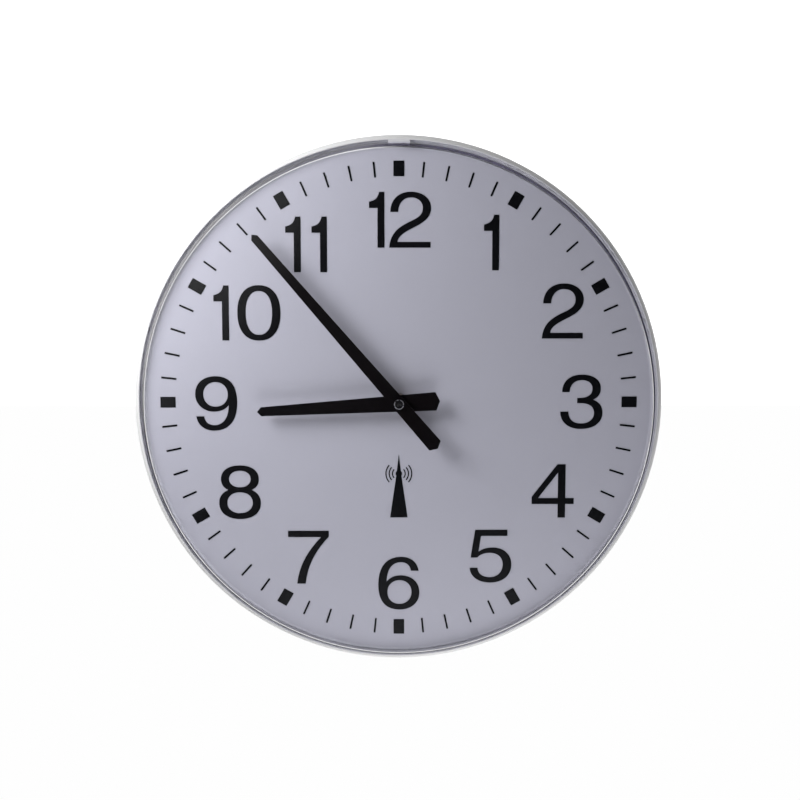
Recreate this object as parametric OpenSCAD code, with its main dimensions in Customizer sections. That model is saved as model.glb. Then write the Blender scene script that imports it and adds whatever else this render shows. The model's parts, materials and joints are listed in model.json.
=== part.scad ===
// Radio-controlled wall clock, 400 mm, built as it comes apart on a bench.
// Millimetres. +Z is up and the dial faces -Y. The wall is the plane Y = 0.
// The origin is the centre of the keyhole that the clock hangs by, on the wall plane.
// Depths named z in the profiles are measured from the dial's face, positive towards the viewer.

/* [Case] */
// Outer diameter of the case
case_d = 400; // [396:1:404]
// Distance from the wall to the dial's face
dial_depth = 28; // [28:0.5:32]
// Distance of the hand axis below the keyhole
axis_drop = 140; // [110:1:150]
// Wall thickness of the case's skin
skin_t = 2.5; // [2:0.1:3]
// Thickness of the case's back wall
back_t = 2; // [1.6:0.1:2.4]
// Number of ribs that stiffen the back wall
rib_count = 4; // [4:4:8]
// Radius of the keyhole's round hole
keyhole_r = 4.5; // [4:0.1:5]
// Width of the keyhole's slot
keyslot_w = 4.8; // [4.4:0.1:5]

/* [Lens] */
// Thickness of the clear lens
lens_t = 2; // [1.5:0.1:2.4]
// Height of the dome's middle above the dial's face
dome_h = 26; // [24:0.5:30]
// Height of the dome's shoulder above the dial's face
shoulder_h = 21.2; // [20:0.1:22]
// Width of the notch in the lens's edge at twelve o'clock
notch_w = 17; // [14:0.5:24]

/* [Dial] */
// Radius of the circle through the middles of the minute marks
mark_ring_r = 175; // [172:0.1:177]
// Length of every mark
mark_len = 11.5; // [9:0.1:13]
// Width of the hour blocks
block_w = 8.2; // [6:0.1:10]
// Width of the minute ticks
tick_w = 1.45; // [1:0.05:2]
// Height of the numerals
numeral_h = 41.4; // [38:0.1:43]
// Radius of the circle through the middles of the numerals
numeral_ring_r = 138.8; // [136:0.1:140]
// Thickness of the printed ink
ink_t = 0.2; // [0.1:0.05:0.3]

/* [Hands] */
// Hour shown at rest
rest_hour = 8; // [0:1:11]
// Minutes shown at rest
rest_minute = 53.2; // [0:0.1:59.9]
// Length of the minute hand from the hub to its point
minute_len = 166.5; // [150:0.5:168]
// Length of the hour hand from the hub to its point
hour_len = 107; // [90:0.5:112]
// Thickness of the hands' sheet
hand_t = 0.8; // [0.6:0.1:1]

/* [Movement] */
// Width of the movement
movement_w = 62; // [61:0.5:63]
// Depth of the movement
movement_depth = 18.5; // [18.5:0.1:19]
// Radius of the threaded neck
neck_r = 4; // [3.8:0.1:4]
// Clear radius left round every turning pivot and shaft
running_gap = 0.05; // [0.03:0.01:0.08]
// Travel of the buttons
button_travel = 0.6; // [0.3:0.1:0.6]

/* [Hidden] */
$fn = 96;
fine = 180;
eps = 0.01;

// Places in the case's profile, as radius and z
case_r = case_d / 2;
rear_z = -dial_depth;
dial_t = 1;
dial_r = 193.4;
lip_r = 195.6;
lip_z = 6.2;
flange_z = 3;
flange_top = flange_z + lens_t;
flange_r = 196.1;
skirt_r = 194.4;
seat_r = 189;
recess = 1.5;
back_z = rear_z + recess;
flank_r = case_r - lip_r;
flank_h = 10;
ring_w = 2.5;

// The pocket at the back of the case that takes the movement
pocket_gap = 2;
pocket_t = 2;
movement_top = 18;
movement_bottom = -58;
movement_h = movement_top - movement_bottom;
gasket_t = 1;
front_face_y = -dial_depth + dial_t + pocket_t + gasket_t;
shell_t = 1.2;
front_shell = 10;

// Hands and their shafts, in z from the dial's face
hour_z = 9.2;
minute_z = 13.4;
minute_shaft_r = 1.6;
hour_tube_r = 2.5;
minute_angle = -rest_minute * 6;
hour_angle = -(rest_hour + rest_minute / 60) * 30;

// Tooth counts and modules of the wheels
centre_n = 48;
third_n = 60;
inter_n = 60;
small_n = 12;
rotor_n = 10;
motion_n = 36;
hour_n = 48;
centre_m = 0.35;
third_m = 0.3;
inter_m = 0.25;
motion_m = 0.4;
hour_m = 0.32;

// Arbor places from the hub, each a distance and a direction from the one before
third_dir = 180;
inter_dir = -70;
rotor_dir = -10;
motion_dir = 20;
function toward(a, r) = [r * cos(a), r * sin(a)];
third_at = toward(third_dir, centre_m * (centre_n + small_n) / 2);
inter_at = third_at + toward(inter_dir, third_m * (third_n + small_n) / 2);
rotor_at = inter_at + toward(rotor_dir, inter_m * (inter_n + rotor_n) / 2);
motion_at = toward(motion_dir, motion_m * (motion_n + small_n) / 2);

// Layers inside the movement, as depth behind its front face
hour_layer = [1.5, 1.2];
motion_layer = [3, 1];
centre_layer = [4.5, 1];
third_layer = [6, 1];
inter_layer = [7.5, 0.8];
magnet_layer = [8.8, 2.2];
bridge_layer = [11.4, 1];
board_layer = [13.6, 1.2];
bridge_back = bridge_layer[0] + bridge_layer[1];
board_back = board_layer[0] + board_layer[1];
hub_back = centre_layer[0] + 1.3;
pivot_r = 0.5;
arbor_r = 0.8;
spindle_r = 0.75;
stud_r = 0.6;
neck_foot_r = 3;
screw_places = [for (x = [-26, 26], z = [13, -22]) [x, z]];
screw_r = 0.8;
board_posts = [[-26, -4.5], [26, -4.5]];

// The light that finds the hands' place, seen through a hole in each wheel
light_at = third_at + toward(20, 5);
sensor_size = [2.4, 1.8];

// Battery bay and antenna chamber, as heights from the hand axis
cell_r = 7.1;
cell_len = 50.5;
cell_z = -36;
cell_back = 10.7;
bay_h = 16;
bay_w = 57;
contact_gap = 0.2;
rod_z = -51;
rod_r = 4;
rod_len = 54;
rod_back = 9.5;

buttons = [[-17, 9], [0, 11], [17, 9]];
button_r = 1.7;
switch_t = 1;

// Puts what is drawn facing +Z at depth y, on the hand axis, facing the viewer
module facing(y) {
    translate([0, y, -axis_drop]) rotate([90, 0, 0]) children();
}

// The same, at height z above the dial's face
module on_dial(z) {
    facing(-dial_depth - z) children();
}

// The same, at depth d behind the movement's front face, drawn towards the wall
module in_movement(layer) {
    facing(front_face_y + layer[0] + layer[1]) linear_extrude(layer[1]) children();
}

// A block in the movement: middle of its face [x, z], size [w, h], from depth d0 to d1
module block(at, size, d0, d1) {
    translate([at[0] - size[0] / 2, front_face_y + d0, -axis_drop + at[1] - size[1] / 2])
        cube([size[0], d1 - d0, size[1]]);
}

// A round bar along Y in the movement, from depth d0 to d1
module bar(at, r, d0, d1, n = 48) {
    translate([at[0], 0, at[1]]) facing(front_face_y + d1) cylinder(r = r, h = d1 - d0, $fn = n);
}

module ring(r_out, r_in, h) {
    difference() {
        cylinder(r = r_out, h = h);
        translate([0, 0, -1]) cylinder(r = r_in, h = h + 2);
    }
}

// A square with round corners
module round_rect(w, h, r) {
    union() {
        square([w - 2 * r, h], center = true);
        square([w, h - 2 * r], center = true);
        for (x = [-1, 1], y = [-1, 1]) translate([x * (w / 2 - r), y * (h / 2 - r)]) circle(r, $fn = 32);
    }
}

// Points of an arc on an ellipse with middle c, from angle a0 to a1
function arc(c, rx, ry, a0, a1, n) =
    [for (i = [0:n]) let(a = a0 + (a1 - a0) * i / n) c + [rx * cos(a), ry * sin(a)]];

// Points of a cubic curve after its start a
function bend(a, b, c, d, n) =
    [for (i = [1:n]) let(t = i / n, s = 1 - t)
        s * s * s * a + 3 * s * s * t * b + 3 * s * t * t * c + t * t * t * d];

// The closed outline that starts at a point and follows legs: one point is a line, three a curve
function outline(start, legs, n = 9) =
    let(knots = [start, for (leg = legs) leg[len(leg) - 1]])
    [start, for (i = [0:len(legs) - 1]) each
        len(legs[i]) == 1 ? legs[i] : bend(knots[i], legs[i][0], legs[i][1], legs[i][2], n)];

// A closed curve between an ellipse and a rectangle: a higher power is squarer
function oval(c, rx, ry, power = 2.2, n = 44) =
    [for (i = [0:n - 1]) let(a = 360 * i / n)
        c + [rx * sign(cos(a)) * pow(abs(cos(a)), 2 / power),
             ry * sign(sin(a)) * pow(abs(sin(a)), 2 / power)]];

// Involute teeth. thin narrows each tooth to leave backlash
function involute(a) = tan(a) * 180 / PI - a;
function half_tooth(r, rp, n, thin) =
    let(base = rp * cos(20), at = r > base ? acos(base / r) : 0)
    90 / n * (1 - thin) + involute(20) - involute(at);
function tooth_radii(rp, m, n, top) =
    let(root = rp - 1.25 * m, base = rp * cos(20))
    [root, max(root + 0.25 * m, base), rp, rp + top * m];
function gear(n, m, turn, top = 0.85, thin = 0.12) =
    let(rp = m * n / 2, radii = tooth_radii(rp, m, n, top))
    [for (i = [0:n - 1]) let(mid = turn + 360 * i / n)
        each concat(
            [for (r = radii) toward(mid - half_tooth(r, rp, n, thin), r)],
            [for (k = [3:-1:0]) toward(mid + half_tooth(radii[k], rp, n, thin), radii[k])])];

// The turn that puts gear b in mesh with gear a, where phi is the direction from a to b
function mesh_turn(turn_a, n_a, n_b, phi) = phi + 180 + 180 / n_b - (turn_a - phi) * n_a / n_b;

centre_turn = 0;
third_pinion_turn = mesh_turn(centre_turn, centre_n, small_n, third_dir);
inter_pinion_turn = mesh_turn(0, third_n, small_n, inter_dir);
rotor_turn = mesh_turn(0, inter_n, rotor_n, rotor_dir);
motion_turn = mesh_turn(0, small_n, motion_n, motion_dir);
hour_wheel_turn = mesh_turn(0, small_n, hour_n, motion_dir + 180);

// CASE, LENS AND DIAL

// The case's rim: curved flank, lip over the lens, seat for the dial, and the ring behind it
module rim_section() {
    web = 2.5;
    polygon(concat(
        [[seat_r, rear_z], [seat_r + ring_w, rear_z], [seat_r + ring_w, -dial_t - web],
         [case_r - skin_t - 1.5, -dial_t - web], [case_r - skin_t, -dial_t - web - 1.5],
         [case_r - skin_t, rear_z], [case_r - 0.6, rear_z], [case_r, rear_z + 0.6]],
        arc([lip_r, lip_z - flank_h], flank_r, flank_h, 0, 82, 18),
        [[lip_r + 0.2, lip_z - 0.2], [lip_r, lip_z - 0.5],
         [lip_r, flange_top], [flange_r + 0.1, flange_top], [flange_r + 0.1, flange_z],
         [skirt_r + 0.1, flange_z], [skirt_r + 0.1, -dial_t], [seat_r, -dial_t]]));
}

module pocket_outline(grow) {
    translate([0, (movement_top + movement_bottom) / 2])
        round_rect(movement_w + 2 * (pocket_gap + grow), movement_h + 2 * (pocket_gap + grow), 3 + grow);
}

module keyhole_cut() {
    slot_rise = 9;
    translate([0, 1, 0]) rotate([90, 0, 0]) {
        cylinder(r = keyhole_r, h = 6);
        translate([-keyslot_w / 2, 0, 0]) cube([keyslot_w, slot_rise, 6]);
        translate([0, slot_rise, 0]) cylinder(d = keyslot_w, h = 6);
    }
}

module rear_case() {
    boss_t = 3;
    color("whitesmoke") difference() {
        union() {
            on_dial(0) rotate_extrude($fn = fine) rim_section();
            on_dial(back_z) cylinder(r = seat_r + eps, h = back_t, $fn = fine);
            on_dial(back_z) linear_extrude(-back_z - dial_t) pocket_outline(pocket_t);
            facing(0) translate([0, axis_drop + 4, 0]) linear_extrude(boss_t + recess)
                round_rect(26, 34, 6);
            for (i = [0:rib_count - 1]) on_dial(back_z) rotate(360 * (i + 0.5) / rib_count)
                translate([48, -0.8, 0]) cube([seat_r - 47, 1.6, -back_z - dial_t]);
            on_dial(flange_z) translate([0.3 - notch_w / 2, skirt_r - 2.2, 0])
                cube([notch_w - 0.6, 4, lip_z - flange_z - 0.2]);
        }
        on_dial(rear_z - 1) linear_extrude(dial_depth + 1 - dial_t - pocket_t) pocket_outline(0);
        on_dial(-10) cylinder(r = neck_r + 0.2, h = 20);
        keyhole_cut();
    }
}

// The lens: a flange under the case's lip, a steep shoulder and a shallow dome
module lens_section() {
    foot = [lip_r - 0.4, flange_top];
    corner = [190.6, shoulder_h - 1.6];
    shoulder_r = 188.4;
    rise = dome_h - shoulder_h;
    dome_r = (shoulder_r * shoulder_r + rise * rise) / (2 * rise);
    edge = asin(shoulder_r / dome_r);
    top = [for (i = [0:20]) let(a = edge * (1 - i / 20)) [dome_r * sin(a), dome_h - dome_r * (1 - cos(a))]];
    under = [for (p = [20:-1:0]) top[p] - [0, lens_t]];
    polygon(concat(
        [[skirt_r, 0], [skirt_r, flange_z], [flange_r, flange_z], [flange_r, flange_top - 0.4],
         [flange_r - 0.3, flange_top], foot],
        bend(foot, foot - [0.3, -0.1], foot - [0.5, -0.6], foot - [0.8, -2], 5),
        bend(corner - [0.25, 1], corner, corner + [-0.4, 1.2], top[0], 8),
        top, under,
        bend(top[0] - [0, lens_t], corner - [2, 1.4], corner - [2, 1.8], corner - [1.8, 3], 6),
        [foot - [lens_t + 0.8, -0.6], [skirt_r - 1.8, 0]]));
}

module lens() {
    color([0.9, 0.9, 0.97, 0.3]) on_dial(0) difference() {
        rotate_extrude($fn = fine) lens_section();
        translate([-notch_w / 2, skirt_r - 2.6, flange_z]) cube([notch_w, 6, lip_z - flange_z + 0.6]);
    }
}

module dial() {
    color("gainsboro") on_dial(-dial_t) difference() {
        cylinder(r = dial_r, h = dial_t, $fn = fine);
        translate([0, 0, -1]) cylinder(r = neck_r + 0.1, h = dial_t + 2);
    }
}

module mark(angle, w) {
    rotate(-angle) translate([-w / 2, mark_ring_r - mark_len / 2]) square([w, mark_len]);
}

module hour_blocks() {
    color("black") on_dial(0) linear_extrude(ink_t) for (k = [0:11]) mark(k * 30, block_w);
}

module minute_ticks() {
    color("black") on_dial(0) linear_extrude(ink_t)
        for (k = [0:59]) if (k % 5 != 0) mark(k * 6, tick_w);
}

// NUMERALS, drawn 100 units tall with their left edge at 0

digit_w = [78.2, 27.8, 75.8, 77.8, 78, 77.8, 76.8, 75.7, 77, 76.8];

module digit_one() {
    polygon(outline([0, 71], [[[0, 82.5]], [[9, 84], [16.4, 88], [18, 100]], [[27.8, 100]], [[27.8, 0]],
        [[15.3, 0]], [[15.3, 71]]]));
}

module digit_two() {
    polygon(outline([0, 0], [
        [[75, 0]], [[75, 10.5]], [[15, 10.5]],
        [[17, 22], [28, 28], [44, 36]],
        [[62, 45], [75.8, 54], [75.8, 71]],
        [[75.8, 88], [61, 100.3], [39.5, 100.3]],
        [[17, 100.3], [2, 86], [2, 64]],
        [[16.5, 64]],
        [[16.5, 79], [25.5, 90], [39.5, 90]],
        [[52, 90], [60.8, 82.5], [60.8, 71]],
        [[60.8, 60], [53.5, 54.5], [41, 48.5]],
        [[22, 39.5], [2, 30], [0, 0]]]));
}

module digit_three() {
    polygon(outline([0, 32], [
        [[0, 12], [15, -0.3], [38, -0.3]],
        [[62, -0.3], [77.8, 11], [77.8, 30]],
        [[77.8, 42], [71, 50.5], [60, 54]],
        [[68.5, 57.5], [74.2, 64], [74.2, 74.5]],
        [[74.2, 91], [60, 100.3], [39, 100.3]],
        [[17, 100.3], [3, 88], [3, 68]],
        [[17, 68]],
        [[17, 82], [26, 90], [39, 90]],
        [[51, 90], [58.7, 84], [58.7, 74]],
        [[58.7, 63], [50, 57.3], [36, 57.3]],
        [[30.9, 57.3]], [[30.9, 47.5]], [[38, 47.5]],
        [[53, 47.5], [62.3, 41], [62.3, 29.5]],
        [[62.3, 17], [52, 10], [38.5, 10]],
        [[24, 10], [15, 18], [15, 32]]]));
}

module digit_four() {
    difference() {
        polygon([[48.3, 0], [62.2, 0], [62.2, 25.5], [78, 25.5], [78, 36.7], [62.2, 36.7], [62.2, 100],
            [47, 100], [0, 39], [0, 25.5], [48.3, 25.5]]);
        polygon([[48.3, 36.7], [48.3, 84.3], [11.7, 36.7]]);
    }
}

module digit_five() {
    polygon(outline([0, 28], [
        [[1, 11], [16, -0.3], [38, -0.3]],
        [[62, -0.3], [77.8, 13], [77.8, 34]],
        [[77.8, 54], [63, 66.5], [43, 66.5]],
        [[32, 66.5], [23.5, 64], [16.6, 58.6]],
        [[21, 88.3]], [[70, 88.3]], [[70, 100]], [[10, 100]], [[1.8, 47.4]], [[14.3, 47.4]],
        [[19, 53], [27, 56.3], [37, 56.3]],
        [[52, 56.3], [61.7, 48], [61.7, 34]],
        [[61.7, 19], [51, 10], [37.5, 10]],
        [[24, 10], [15.5, 17], [14.8, 28]]]));
}

module digit_six() {
    difference() {
        polygon(outline([75.3, 73.7], [
            [[73, 90], [61, 100.3], [42.5, 100.3]],
            [[14, 100.3], [0, 80], [0, 47.5]],
            [[0, 16], [13, -0.3], [39.5, -0.3]],
            [[62, -0.3], [76.8, 13], [76.8, 33]],
            [[76.8, 51], [63, 65], [42.5, 65]],
            [[30, 65], [21, 60.5], [15.6, 53]],
            [[16.2, 77], [26, 90], [42, 90]],
            [[52.5, 90], [59.5, 84], [60.8, 73.7]]]));
        polygon(oval([39.5, 33.2], 22.4, 22.6, 2.1));
    }
}

module digit_seven() {
    polygon(outline([0, 100], [
        [[75.7, 100]], [[75.7, 89]],
        [[52, 64], [36, 36], [32, 0]],
        [[16.3, 0]],
        [[20, 34], [36, 62], [61.5, 88.3]],
        [[0, 88.3]]]));
}

module digit_eight() {
    difference() {
        polygon(outline([17, 54.5], [
            [[6, 50], [0, 42], [0, 29.5]],
            [[0, 11], [15, -0.3], [38.5, -0.3]],
            [[62, -0.3], [77, 11], [77, 29.5]],
            [[77, 42], [71, 50], [60, 54.5]],
            [[69, 58], [73.8, 65], [73.8, 74.5]],
            [[73.8, 91], [60, 100.3], [38.7, 100.3]],
            [[17.5, 100.3], [3.8, 91], [3.8, 74.5]],
            [[3.8, 65], [8.5, 58], [17, 54.5]]]));
        polygon(oval([38.7, 74.8], 19.9, 15.6, 2.1));
        polygon(oval([38.5, 30.4], 23.5, 19.6, 2.1));
    }
}

module digit_zero() {
    difference() {
        polygon(oval([39.1, 50], 39.1, 50.3, 2.3, 60));
        polygon(oval([39.1, 50], 24, 39.7, 2.3, 60));
    }
}

module digit(d) {
    if (d == 0) digit_zero();
    if (d == 1) digit_one();
    if (d == 2) digit_two();
    if (d == 3) digit_three();
    if (d == 4) digit_four();
    if (d == 5) digit_five();
    if (d == 6) digit_six();
    if (d == 7) digit_seven();
    if (d == 8) digit_eight();
    if (d == 9) translate([digit_w[6], 100]) rotate(180) digit_six();
}

// How far the second digit of 10, 11 and 12 stands from the first
pair_step = [43.2, 47.5, 36.3];

// How far each numeral from 1 to 12 stands from its even place on the ring, in mm
nudges = [[0, 0], [3.4, -0.5], [0, 0], [-2.3, 0.7], [1.2, 0.6], [0, -2],
    [0, 0], [-1.3, 0], [0.3, -1], [5.9, -1.8], [0, -1.4], [0.9, -1.7]];

module numeral(k) {
    digits = k < 10 ? [k] : [1, k - 10];
    step = k < 10 ? 0 : pair_step[k - 10];
    w = step + digit_w[digits[len(digits) - 1]];
    translate(toward(90 - 30 * k, numeral_ring_r) + nudges[k - 1]) scale(numeral_h / 100)
        translate([-w / 2, -50]) for (i = [0:len(digits) - 1]) translate([i * step, 0]) digit(digits[i]);
}

module hour_numerals() {
    color("black") on_dial(0) linear_extrude(ink_t) for (k = [1:12]) numeral(k);
}

module radio_mast_mark() {
    ball_z = -55.1;
    arc_t = 0.9;
    color("black") on_dial(0) linear_extrude(ink_t) {
        polygon([[-6.7, -89.1], [6.7, -89.1], [1.95, -56.4], [0, -39.9], [-1.95, -56.4]]);
        translate([0, ball_z]) circle(2.5, $fn = 40);
        for (side = [0, 180], r = [5.3, 7.8, 10.3]) translate([0, ball_z]) rotate(side)
            polygon(concat(arc([0, 0], r, r, -42, 42, 14), arc([0, 0], r - arc_t, r - arc_t, 42, -42, 14)));
    }
}

// HANDS

// A flat strip that widens towards its tail, with a short point at each end
module hand_shape(length, tail, tip_w, tail_w, point) {
    polygon([[0, length], [tip_w / 2, length - point], [tail_w / 2, point - tail],
        [0, -tail], [-tail_w / 2, point - tail], [-tip_w / 2, length - point]]);
}

module minute_hand() {
    color("black") on_dial(minute_z) rotate(minute_angle) linear_extrude(hand_t) difference() {
        hand_shape(minute_len, 44.6, 5.9, 11.3, 3.1);
        circle(r = 2.6);
    }
}

module hour_hand() {
    color("black") on_dial(hour_z) rotate(hour_angle) linear_extrude(hand_t) difference() {
        hand_shape(hour_len, 31, 6.8, 14, 3.1);
        circle(r = 3.4);
    }
}

// Turned bush: a foot behind the hand, and a rim in front with the shaft's end sunk inside it
module minute_hand_bush() {
    foot = 1.6;
    rim = foot + hand_t + 2.9;
    color("dimgray") on_dial(minute_z - foot) rotate_extrude()
        polygon([[minute_shaft_r, 0], [3.4, 0], [3.6, 0.2], [3.6, foot], [2.6, foot], [2.6, foot + hand_t],
            [3.7, foot + hand_t], [3.7, rim - 0.25], [3.45, rim], [3.1, rim], [2.95, rim - 0.8],
            [minute_shaft_r, rim - 0.8]]);
}

module hour_hand_bush() {
    color("goldenrod") on_dial(hour_z - 2) rotate_extrude()
        polygon([[hour_tube_r, 0], [4.4, 0], [4.6, 0.2], [4.6, 2], [3.4, 2], [3.4, 2 + hand_t],
            [4, 2 + hand_t], [4, 3.2], [hour_tube_r, 3.2]]);
}

// MOVEMENT, OUTSIDE IN

module body_outline(grow = 0) {
    translate([0, (movement_top + movement_bottom) / 2])
        round_rect(movement_w + 2 * grow, movement_h + 2 * grow, 2 + grow);
}

// Holes in both plates for the pivots of the turning arbors
module pivot_holes() {
    for (at = [third_at, inter_at, rotor_at]) translate(at) circle(r = pivot_r + running_gap, $fn = 32);
}

// The front half: a tray with four screw posts, the motion wheel's stud and the sensor's window
module front_housing() {
    color([0.13, 0.13, 0.14]) difference() {
        union() {
            difference() {
                facing(front_face_y + front_shell) linear_extrude(front_shell) body_outline();
                facing(front_face_y + front_shell + 1) linear_extrude(front_shell + 1 - shell_t)
                    body_outline(-shell_t);
            }
            for (at = screw_places) bar(at, 2.2, shell_t - 0.2, bridge_layer[0]);
            bar(motion_at, stud_r, shell_t - 0.2, motion_layer[0] + 1.3);
        }
        for (at = screw_places) bar(at, screw_r, 5, bridge_layer[0] + 1, 24);
        facing(front_face_y + shell_t + 1) linear_extrude(shell_t + 2) pivot_holes();
        facing(front_face_y + shell_t + 1) cylinder(r = neck_foot_r, h = shell_t + 2);
        block(light_at, sensor_size, -1, shell_t + 1);
    }
}

// The threaded tube that fixes the movement to the dial. The thread is drawn as rings
module threaded_neck() {
    pitch = 0.75;
    bore_r = hour_tube_r + running_gap;
    top = shell_t + 3.6 - rear_z + front_face_y;
    color("goldenrod") facing(front_face_y + shell_t) rotate_extrude()
        polygon(concat(
            [[bore_r, 0], [neck_foot_r, 0], [neck_foot_r, shell_t], [neck_r, shell_t],
             [neck_r, shell_t + 0.8]],
            [for (i = [0:7]) let(h = shell_t + 1.2 + i * pitch) each
                [[neck_r - 0.35, h], [neck_r, h + pitch / 2]]],
            [[neck_r - 0.4, top], [bore_r, top]]));
}

module rubber_gasket() {
    color([0.1, 0.1, 0.1]) facing(front_face_y) ring(9, neck_r, gasket_t);
}

module neck_washer() {
    color("silver") on_dial(0) ring(7, neck_r, 0.5);
}

module neck_nut() {
    color("goldenrod") on_dial(0.5) difference() {
        cylinder(d = 12, h = 2.3, $fn = 6);
        translate([0, 0, -1]) cylinder(r = neck_r, h = 5);
    }
}

module rear_housing() {
    back = movement_depth;
    color([0.13, 0.13, 0.14]) difference() {
        union() {
            difference() {
                facing(front_face_y + back) linear_extrude(back - front_shell) body_outline();
                facing(front_face_y + back - shell_t) linear_extrude(back) body_outline(-shell_t);
            }
            block([0, cell_z], [bay_w + 2 * shell_t, bay_h + 2 * shell_t], shell_t, back);
            for (at = board_posts) bar(at, 1.5, board_back, back - shell_t + 0.2, 32);
        }
        block([0, cell_z], [bay_w, bay_h], cell_back - cell_r - 0.4, back + 1);
        for (at = buttons) bar(at, button_r + 0.3, back - 3, back + 1, 48);
    }
}

module battery() {
    color([0.18, 0.2, 0.22]) translate([-cell_len / 2, front_face_y + cell_back, -axis_drop + cell_z])
        rotate([0, 90, 0]) {
            cylinder(r = cell_r, h = cell_len - 1.4);
            cylinder(r = 2.6, h = cell_len);
        }
}

// A strip against the bay's end wall, bent out to the middle of the cell's end. Drawn for the +X end
module contact_strip(strip_w) {
    wall_x = bay_w / 2;
    tip_x = cell_len / 2 + contact_gap;
    t = 0.4;
    translate([0, front_face_y + cell_back, -axis_drop + cell_z - strip_w / 2]) linear_extrude(strip_w)
        polygon([[wall_x, -5.5], [wall_x, 6], [wall_x - t, 6], [wall_x - t, 3.4], [tip_x, 1], [tip_x, -1.4],
            [wall_x - t - 0.6, -4.4], [wall_x - t, -3.9], [wall_x - t, -5.5]]);
    block([wall_x - t / 2, cell_z], [t, 13], cell_back + 3.4, cell_back + 6);
}

module plus_contact() {
    color("silver") contact_strip(5);
}

module minus_contact() {
    color("silver") mirror([1, 0, 0]) contact_strip(8);
}

// The plate that holds the rear pivots, with two pads that the circuit board rests on
module gear_bridge() {
    color([0.8, 0.8, 0.78]) {
        in_movement(bridge_layer) difference() {
            translate([0, -4.5]) round_rect(57, 41, 2);
            pivot_holes();
            circle(r = spindle_r + running_gap, $fn = 40);
            translate(light_at) circle(r = 1, $fn = 24);
            for (at = screw_places) translate(at) circle(r = 1.1, $fn = 24);
        }
        for (at = board_posts) bar(at, 1.5, bridge_back - eps, board_layer[0], 32);
    }
}

module bridge_screws() {
    head_t = 0.9;
    color("silver") for (at = screw_places) difference() {
        union() {
            bar(at, screw_r, 5.5, bridge_back, 24);
            bar(at, 1.9, bridge_back, bridge_back + head_t, 32);
        }
        block(at, [2.4, 0.5], bridge_back + head_t / 2, bridge_back + head_t + 1);
    }
}

// The rotor's iron: a plate with the rotor's hole, and two legs through the coil
module stator() {
    at = [magnet_layer[0] + 0.5, 1];
    color("darkgray") in_movement(at) difference() {
        union() {
            translate([rotor_at[0] - 7, rotor_at[1] - 6]) square([22, 12]);
            translate([rotor_at[0] + 11, rotor_at[1] - 10]) square([4, 20]);
            translate([rotor_at[0] + 11, rotor_at[1] - 10]) square([11, 3]);
            translate([rotor_at[0] + 11, rotor_at[1] + 7]) square([11, 3]);
            translate([rotor_at[0] + 19, rotor_at[1] - 10]) square([3, 20]);
        }
        translate(rotor_at) circle(r = 3.5);
    }
}

coil_at = [rotor_at[0] + 20.5, rotor_at[1]];

module coil_bobbin() {
    d0 = magnet_layer[0] - 1.3;
    d1 = magnet_layer[0] + 3.2;
    leg = [magnet_layer[0] + 0.5, magnet_layer[0] + 1.5];
    color("ivory") difference() {
        union() {
            block(coil_at, [3.8, 13.6], leg[0] - 0.4, leg[1] + 0.4);
            for (z = [-6.4, 6.4]) block(coil_at + [0, z], [5.6, 0.8], d0, d1 - 0.8);
        }
        block(coil_at, [3, 20], leg[0], leg[1]);
    }
}

module coil_winding() {
    d0 = magnet_layer[0] - 1.1;
    color([0.72, 0.4, 0.2]) difference() {
        block(coil_at, [5.2, 12], d0, d0 + 4.1 - 0.6);
        block(coil_at, [3.8, 14], magnet_layer[0] + 0.1, magnet_layer[0] + 1.9);
    }
}

module circuit_board() {
    color([0.1, 0.35, 0.2]) in_movement(board_layer) difference() {
        translate([0, -4.5]) round_rect(58, 42, 1);
        for (at = screw_places) translate(at) circle(r = 2.4);
    }
}

module clock_chip() {
    color([0.1, 0.1, 0.1]) block([-6, -6], [9, 9], board_back, board_back + 1.2);
}

module crystals() {
    color("silver") for (x = [8, 12.5]) translate([x, front_face_y + board_back + 1.05, -axis_drop - 12])
        cylinder(r = 1, h = 6, $fn = 32);
}

module board_capacitors() {
    color("tan") for (at = [[-18, -4], [-18, -8], [3, -18], [7, -18], [18, -8]])
        block(at, [2, 1.2], board_back, board_back + 0.8);
}

module button_switches() {
    color("silver") for (at = buttons) block(at, [5, 5], board_back, board_back + switch_t);
}

// A plunger in its hole in the rear face, held by a collar inside, above its switch
module button(at) {
    foot = board_back + switch_t + button_travel + 0.1;
    color("lightgray") union() {
        bar(at, button_r, foot, movement_depth + 0.6);
        bar(at, 2.6, foot, movement_depth - shell_t - 0.1);
    }
}

module set_button() {
    button(buttons[0]);
}

module receive_button() {
    button(buttons[1]);
}

module reset_button() {
    button(buttons[2]);
}

module position_lamp() {
    color([0.9, 0.9, 0.95]) block(light_at, sensor_size, board_layer[0] - 0.9, board_layer[0]);
}

module position_sensor() {
    color([0.15, 0.1, 0.2]) block(light_at, sensor_size, 0.3, shell_t);
}

module antenna_rod() {
    color([0.25, 0.24, 0.24]) translate([-rod_len / 2, front_face_y + rod_back, -axis_drop + rod_z])
        rotate([0, 90, 0]) cylinder(r = rod_r, h = rod_len);
}

module antenna_winding() {
    color([0.7, 0.38, 0.2]) translate([-15, front_face_y + rod_back, -axis_drop + rod_z])
        rotate([0, 90, 0]) ring(rod_r + 0.7, rod_r, 30);
}

module antenna_cradle() {
    color("ivory") difference() {
        union() for (x = [-22, 22]) block([x, rod_z], [4, 10.4], shell_t, rod_back + 3);
        translate([-40, front_face_y + rod_back, -axis_drop + rod_z]) rotate([0, 90, 0])
            cylinder(r = rod_r, h = 80);
    }
}

// WHEELS

// An arbor that turns in the front plate and the bridge, with a little end play
module arbor(at) {
    union() {
        bar(at, arbor_r, shell_t + 0.15, bridge_layer[0] - 0.15);
        bar(at, pivot_r, 0.2, bridge_back, 32);
    }
}

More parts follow.
